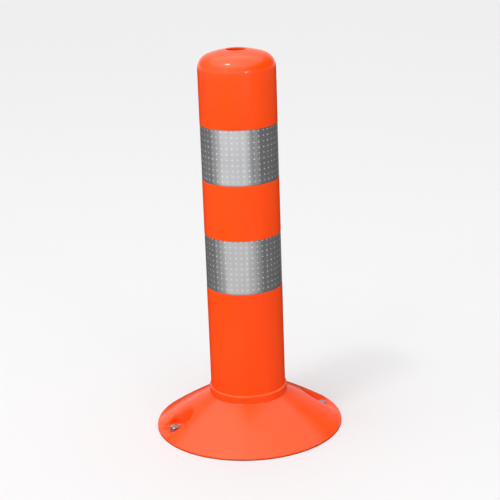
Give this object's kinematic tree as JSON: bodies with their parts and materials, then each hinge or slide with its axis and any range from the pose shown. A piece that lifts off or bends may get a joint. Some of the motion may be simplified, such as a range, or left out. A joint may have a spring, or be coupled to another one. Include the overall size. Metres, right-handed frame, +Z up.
{
  "type": "delineator post",
  "caption": "Flexible road delineator post: a domed tube with reflective bands that springs back upright on a conical bolt-down base.",
  "frame": {"origin": "centre of the base's underside, on the road", "axes": "+Z up along the tube's axis; +X towards the right-hand anchor bolt, so both anchor bolts lie on the X axis"},
  "size_m": [0.2, 0.2, 0.4075],
  "materials": {
    "orange_polyurethane": "semi-gloss moulded polyurethane elastomer",
    "reflective_film": "silver prismatic retroreflective film, satin",
    "zinc_plated_steel": "bright zinc plated",
    "galvanised_steel": "galvanised, dull",
    "brass": "machined"
  },
  "bodies": {
    "mounting": {"base": "orange_polyurethane", "tube_foot": "orange_polyurethane", "clamp_ring": "galvanised_steel", "clamp_screw_1": "zinc_plated_steel", "clamp_screw_2": "zinc_plated_steel", "clamp_screw_3": "zinc_plated_steel", "clamp_screw_4": "zinc_plated_steel", "clamp_screw_5": "zinc_plated_steel", "clamp_screw_6": "zinc_plated_steel", "threaded_insert_1": "brass", "threaded_insert_2": "brass", "threaded_insert_3": "brass", "threaded_insert_4": "brass", "threaded_insert_5": "brass", "threaded_insert_6": "brass", "anchor_bolt_left": "zinc_plated_steel", "anchor_bolt_right": "zinc_plated_steel", "anchor_washer_left": "zinc_plated_steel", "anchor_washer_right": "zinc_plated_steel", "anchor_sleeve_left": "galvanised_steel", "anchor_sleeve_right": "galvanised_steel"},
    "bend": {"flex_neck": "orange_polyurethane"},
    "post": {"post_tube": "orange_polyurethane", "lower_reflective_band": "reflective_film", "upper_reflective_band": "reflective_film"}
  },
  "joints": [
    {"name": "lean_along_y", "type": "hinge", "parent": "mounting", "child": "bend", "pos_m": [0, 0, 0.076], "axis": [1, 0, 0], "range_deg": [-45, 45], "stiffness_Nm_per_rad": 15, "deforming": ["flex_neck"]},
    {"name": "lean_along_x", "type": "hinge", "parent": "bend", "child": "post", "pos_m": [0, 0, 0.128], "axis": [0, 1, 0], "range_deg": [-45, 45], "stiffness_Nm_per_rad": 15, "deforming": ["flex_neck"]}
  ]
}
